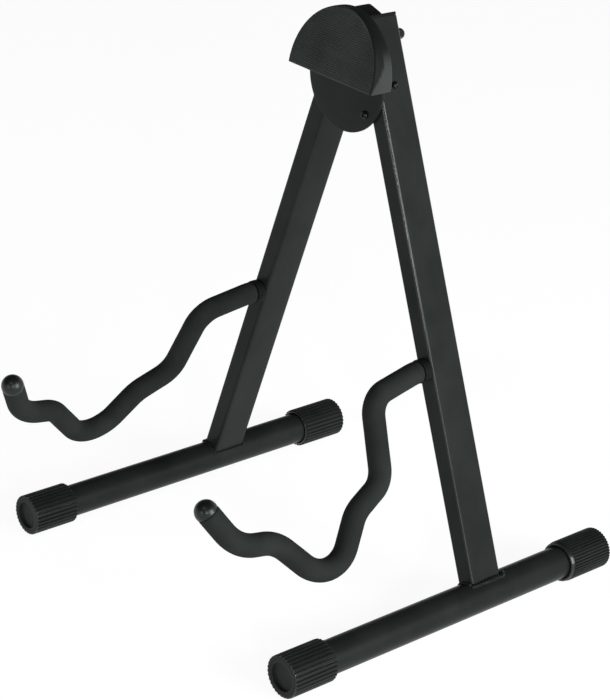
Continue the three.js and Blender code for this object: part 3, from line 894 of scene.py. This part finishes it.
@dataclass
class Pad:
    """The wedge pad: part of a circle cut off below its middle, with a ribbed front that leans back."""

    r: float = 45.3
    x: float = 3.0
    z: float = 389.6
    drop: float = 5.6
    roll: float = 3.4
    back: float = 43.45
    thickness: float = 20.8
    tilt: float = 13.0
    rib_pitch: float = 1.6
    rib_depth: float = 0.55
    edge: float = 1.6
    # Width of the painted shade band on the wall next to the front, in millimetres.
    shade_band_depth: float = 7.0

    def plane(self, z):
        """The depth of the leaning front at the height z, before its ribs and its round edge."""
        return self.back - self.thickness + (z + self.drop) * math.tan(math.radians(self.tilt))

    def front(self, x: np.ndarray, z: np.ndarray) -> np.ndarray:
        """The depth of the front at a point of the outline.

        It is a plane that leans back, plus a cosine rib across it, plus a quarter-round fall towards the round
        edge: e - sqrt(e^2 - (e - d)^2) at the distance d from the edge.

        Args:
            x: Place across, from the circle's centre.
            z: Place up, from the circle's centre.

        Returns:
            The Y of the front.
        """
        d = np.minimum(self.r - np.hypot(x, z), z + self.drop + 0.25)
        gap = np.clip(self.edge - d, 0, self.edge)
        fall = self.edge - np.sqrt(np.maximum(self.edge ** 2 - gap ** 2, 0))
        wave = 0.5 - 0.5 * np.cos(2 * np.pi * (z + self.drop) / self.rib_pitch)
        return self.plane(z) + fall + self.rib_depth * wave * smoothstep(0.8, 1.8, d)

    def surface(self) -> tuple[Surface, np.ndarray]:
        """Level slices of the pad: each runs across the front, down a side, back across the rear and up.

        Slices stand at z = r sin a for even steps of a, so that they are closest near the top, and the half
        width is w = r cos a. Across the front x is w sin b, so that columns crowd towards the round edge.

        Returns:
            The pad, and for each vertex 1 where shade is painted: on the rim of the front, the top of the
            wall and the wall next to the front, and 0 elsewhere.
        """
        low = math.asin(-self.drop / self.r)
        a = np.linspace(low, math.pi / 2 - 0.012, 330)
        a = np.concatenate([[low, low + 0.003], a[1:]])
        z, w = self.r * np.sin(a), self.r * np.cos(a)
        b = np.linspace(-np.pi / 2, np.pi / 2, 45)
        x = w[:, None] * np.sin(b)
        z_front = np.broadcast_to(z[:, None], x.shape)
        y = self.front(x, z_front)
        steps = np.array([0.04, 0.12, 0.25, 0.4, 0.55, 0.7, 0.85, 0.95])
        right = y[:, -1:] + (self.back - 0.6 - y[:, -1:]) * steps
        bulge = 0.35 * np.sin(np.pi * steps)[None]
        reach = w[:, None] + bulge * (w[:, None] > 3)
        rear_x = w[:, None] * np.linspace(1, -1, 9)[None] * 0.985
        xs = np.concatenate([x, reach, rear_x, -reach[:, ::-1]], 1)
        ys = np.concatenate([y, right, np.full(rear_x.shape, self.back), right[:, ::-1]], 1)
        zs = np.broadcast_to(z[:, None], xs.shape).copy()
        xs[0] *= 0.992
        ys[0] = np.clip(ys[0], ys[0].min() + 0.35, self.back - 0.35)
        rows = np.stack([xs, ys, zs], -1)
        place = Place.about_y([self.x, 0, self.z], self.roll)
        # Painted shade: a band on the wall next to the front that widens upward, and the whole top of the wall,
        # darkened in colour where shade falls.
        depth = ys - self.plane(zs)
        width = 1.2 + self.shade_band_depth * smoothstep(-6, 16, zs)
        # Columns: the front with both its rims, the right wall, the rear with both its rims, the left wall.
        on_wall = np.concatenate([np.ones(4), np.zeros(37), np.ones(13), np.zeros(7), np.ones(9)])
        painted_shade = on_wall * np.maximum(1 - smoothstep(-1.2, 1.2, depth - width), smoothstep(13, 26, zs))
        top_y = (self.back + self.plane(self.r)) / 2
        poles = (place(np.array([0, self.back - self.thickness / 2, -self.drop])), place(np.array([0, top_y, self.r])))
        return Surface(place(rows), poles), np.concatenate([painted_shade.ravel(), [0, 0]])

    def build(self, shop: Workshop) -> None:
        """Makes the pad."""
        # The mask carries the painted shade to the pad's material.
        surface, painted_shade = self.surface()
        shop.refine("backrest_pad", surface, PAD_RUBBER, Side.RIGHT.body, padded=1.0, marks={"painted_shade": painted_shade},
                    smooth_angle=42)


@dataclass
class DomedNut:
    """A hexagonal nut with a domed end, about Y."""

    flats: float = 8.8
    hex_height: float = 3.0
    dome_r: float = 4.2
    height: float = 7.6

    def surface(self, place: Place) -> Surface:
        """The nut: its radius at angle a is the hexagon's f / cos(a') held under a chamfer, then the dome's.

        Args:
            place: The nut's frame, its flat face at y = 0 and its dome towards +Y.

        Returns:
            The nut.
        """
        a = circle(COLUMNS)
        within = (a + np.pi / 6) % (np.pi / 3) - np.pi / 6
        hexagon = self.flats / 2 / np.cos(within)
        corner = self.flats / math.sqrt(3)
        rows = [np.full(COLUMNS, 2.9), np.minimum(hexagon, corner * 0.93), hexagon, hexagon,
                np.minimum(hexagon, corner * 0.92), np.full(COLUMNS, self.dome_r + 0.05)]
        levels = [0, 0, 0.35, self.hex_height - 0.45, self.hex_height - 0.08, self.hex_height]
        turn = np.linspace(0, math.pi / 2, 16)[:-1]
        shoulder = self.hex_height + 0.6
        rows += [np.full(COLUMNS, self.dome_r * math.cos(t)) for t in turn]
        levels += [shoulder + (self.height - shoulder) * math.sin(t) for t in turn]
        surface = turned(np.stack(rows), np.array(levels)[:, None], a)
        return Surface(place(surface), place.on_y(0, self.height))


@dataclass
class PanScrew:
    """A pan-head screw along Y with a crossed recess, its head towards -Y."""

    length: float
    r: float = 2.0
    head_r: float = 3.5
    head: float = 2.2
    recess: float = 1.5

    def surface(self, place: Place) -> Surface:
        """The screw: a domed head with two crossed slots sunk in it, and a plain shank.

        The slot's depth falls off with the distance from either of two crossed lines, and with the distance
        from the middle, so the recess is a cross with sloping ends.

        Args:
            place: The screw's frame, the head's underside at y = 0.

        Returns:
            The screw.
        """
        a = circle(COLUMNS)
        share = np.linspace(0.04, 1, 26)
        r = self.head_r * share
        y = -self.head * (1 - share ** 4 * 0.55)
        x, z = r[:, None] * np.sin(a), r[:, None] * np.cos(a)
        line = np.minimum(np.abs(x), np.abs(z))
        cross = (1 - smoothstep(0.32, 0.5, line)) * (1 - smoothstep(1.5, 2.1, r))[:, None]
        head = turned(r[:, None], y[:, None] + cross * (self.recess - 0.45 * r[:, None]).clip(0.3, None), a)
        under = revolve([(self.head_r, -0.25), (self.head_r - 0.2, 0), (self.r, 0), (self.r, self.length - 0.4),
                         (self.r - 0.4, self.length)])
        return Surface(place(np.concatenate([head, under])), place.on_y(self.recess - self.head, self.length))


@dataclass
class Hinge:
    """The round plate, the pad on it, and the bolts, washers, nuts and screws that hold the legs to it."""

    right: Leg
    left: Leg
    r: float = 40.1
    x: float = -1.5
    z: float = 380.0
    back: float = 46.25
    thickness: float = 2.5
    leg_back: float = 76.55

    def plate(self) -> Surface:
        """The plate: a disc about Y with rounded rims."""
        front, r, e = self.back - self.thickness, self.r, 0.7
        profile = [(r * 0.5, front), *arc((r - e, front + e), e, -90, 0, 5), *arc((r - e, self.back - e), e, 0, 90, 5),
                   (r * 0.5, self.back)]
        place = Place.about_y([self.x, 0, self.z])
        return Surface(place(revolve(profile, 180)), place.on_y(front, self.back))

    def washer(self, place: Place) -> Surface:
        """A flat washer about Y with worn edges."""
        profile = [(2.8, 0), (4.85, 0), (5.0, 0.15), (5.0, 0.85), (4.85, 1.0), (2.8, 1.0)]
        return Surface(place(revolve(profile, 64)), ring=True)

    def build(self, shop: Workshop) -> None:
        """Makes the plate and the hardware, and dresses the pieces that stay as they are."""
        body = Side.RIGHT.body
        shop.refine("hinge_disc", self.plate(), POWDER_COAT, body)
        for leg in (self.right, self.left):
            label = leg.side.label
            x, _, z = leg.point(0, 0, leg.pivot)
            washer = self.washer(Place.about_y([x, self.leg_back + GAP, z]))
            nut = DomedNut().surface(Place.about_y([x, self.leg_back + 1.6, z], 17 * leg.side.value))
            shop.refine(f"{label}_pivot_washer", washer, BLACK_ZINC, body)
            shop.refine(f"{label}_domed_nut", nut, BLACK_ZINC, body)
            shop.dress(BLACK_ZINC, f"{label}_pivot_bolt")
        x, _, z = self.right.point(-self.right.w / 2 - 2.9, 0, 367)
        front = Place.about_y([x, self.back - self.thickness - GAP, z], 24)
        shop.refine("disc_screw", PanScrew(5.5, head_r=3.1).surface(front), BLACK_ZINC, body)
        outward = np.array([[0, -1.0, 0], [1, 0, 0], [0, 0, 1]])
        side = Place(self.right.point(self.right.w / 2 + GAP, 0, 384), self.right.place.axes @ outward)
        shop.refine("bracket_screw", PanScrew(20.9, head_r=2.8).surface(side), BLACK_ZINC, body)
        shop.dress(BLACK_ZINC, "bracket_nut")
        shop.dress(POWDER_COAT, "hinge_bracket")
        shop.dress(NYLON, "left_pivot_bush")


# ---- studio


PALE = (0.90, 0.92, 0.92, 1)


def direction(azimuth: float, elevation: float) -> Vector:
    """The way out to an azimuth and elevation in degrees. Azimuth 0 is in front of the stand, and 90 to its right."""
    a, e = math.radians(azimuth), math.radians(elevation)
    return Vector((math.sin(a) * math.cos(e), -math.cos(a) * math.cos(e), math.sin(e)))


@dataclass(frozen=True)
class Softbox:
    """A square area light that faces a point of the stand."""

    name: str
    azimuth: float
    elevation: float
    distance: float
    size: float
    power: float
    aim: tuple[float, float, float] = (0.0, 0.0, 0.2)

    def build(self) -> None:
        """Makes the light."""
        light = bpy.data.lights.new(self.name, "AREA")
        light.shape, light.size, light.energy = "SQUARE", self.size, self.power
        made = add_object(self.name, light)
        way = direction(self.azimuth, self.elevation)
        made.location = Vector(self.aim) + way * self.distance
        made.rotation_euler = (-way).to_track_quat("-Z", "Y").to_euler()


@dataclass(frozen=True)
class Studio:
    """A plain pale floor, soft lights, and the camera."""

    azimuth: float = 48.08
    elevation: float = 22.37
    roll: float = 2.28
    distance: float = 1.65623
    target: tuple[float, float, float] = (-0.00074, 0.01385, 0.17288)
    lens: float = 112.506
    floor_r: float = 9.0
    floor_z: float = -0.0002
    lights: tuple[Softbox, ...] = (
        Softbox("key_softbox", 10, 8, 2.4, 0.7, 6),
        Softbox("side_softbox", 102, 13, 2.6, 1.4, 66),
        Softbox("edge_lamp", 58, 13.5, 2.4, 0.2, 11),
        Softbox("high_lamp", 26, 50, 2.6, 0.2, 6),
    )

    def camera(self) -> None:
        """Sets the camera on its sphere about the target, turned about its own axis by the roll."""
        a, r = math.radians(self.azimuth), math.radians(self.roll)
        back = direction(self.azimuth, self.elevation)
        right = Vector((math.cos(a), math.sin(a), 0))
        up = back.cross(right)
        across, above = math.cos(r) * right + math.sin(r) * up, -math.sin(r) * right + math.cos(r) * up
        data = bpy.data.cameras.new("studio_camera")
        data.lens, data.sensor_width = self.lens, 36
        made = add_object("studio_camera", data)
        turn = Matrix((across, above, back)).transposed()
        made.matrix_world = Matrix.Translation(Vector(self.target) + back * self.distance) @ turn.to_4x4()
        bpy.context.scene.camera = made

    def floor(self) -> None:
        """A wide flat disc that glows, so that it stays pale and its shadows stay soft."""
        a = circle(64)
        points = lifted(np.column_stack([np.cos(a), np.sin(a)]) * self.floor_r, self.floor_z)
        mesh = bpy.data.meshes.new("studio_floor")
        mesh.from_pydata(points.tolist(), [], [list(range(len(a)))])
        made = add_object("studio_floor", mesh)
        paper = bpy.data.materials.new("studio_paper")
        paper.use_nodes = True
        shader = paper.node_tree.nodes["Principled BSDF"]
        for label, value in (("Base Color", (0.16, 0.16, 0.16, 1)), ("Roughness", 0.9), ("Specular IOR Level", 0.0),
                             ("Emission Strength", 1.0), ("Emission Color", (0.92, 0.92, 0.92, 1))):
            shader.inputs[label].default_value = value
        mesh.materials.append(paper)

    def world(self) -> None:
        """A pale horizon under a dark ceiling, with a white wall on the stand's right and behind it."""
        world = bpy.data.worlds.new("studio_world")
        world.use_nodes = True
        shade = world.node_tree.nodes["Background"]
        g = Graph(world.node_tree)
        way = g.add("ShaderNodeTexCoord").outputs["Generated"]
        climb = g.add("ShaderNodeSeparateXYZ", {0: way}).outputs["Z"]
        side = g.add("ShaderNodeVectorMath", {0: way, 1: (0.8, 0.6, 0)}, operation="DOT_PRODUCT")
        band = g.mix(g.spread(side.outputs["Value"], 0.0, 0.5), (0.13, 0.13, 0.13, 1), PALE)
        low = g.mix(g.spread(climb, 0.06, 0.20), PALE, band)
        glow = g.mix(g.spread(climb, 0.46, 0.68), low, (0.03, 0.03, 0.03, 1))
        world.node_tree.links.new(glow, shade.inputs["Color"])
        shade.inputs["Strength"].default_value = 1.0
        bpy.context.scene.world = world

    def build(self) -> None:
        """Sets the whole studio up."""
        self.camera()
        self.floor()
        self.world()
        for light in self.lights:
            light.build()
        bpy.context.scene.view_settings.view_transform = "Standard"


# ---- main


def main() -> None:
    """Builds the studio and the stand's sub-assemblies in order."""
    logging.basicConfig(level=logging.INFO, format="%(name)s: %(message)s")
    Studio().build()
    shop = Workshop(frame["nodes"])
    right, left = Leg(Side.RIGHT), Leg(Side.LEFT, rubbed=0.1)
    for side in Side:
        Base(side).build(shop)
    for leg in (right, left):
        leg.build(shop)
    Arm(right, 176.0, ((185.5, -82, 29), (217.5, -77, 31), (235, -46.5, 0))).build(shop)
    Arm(left, 179.5, ((192, -75, 22.5), (223.5, -68, 33.5), (240.5, -32.5, 0))).build(shop)
    Hinge(right, left).build(shop)
    Pad().build(shop)


if __name__ == "__main__":
    main()
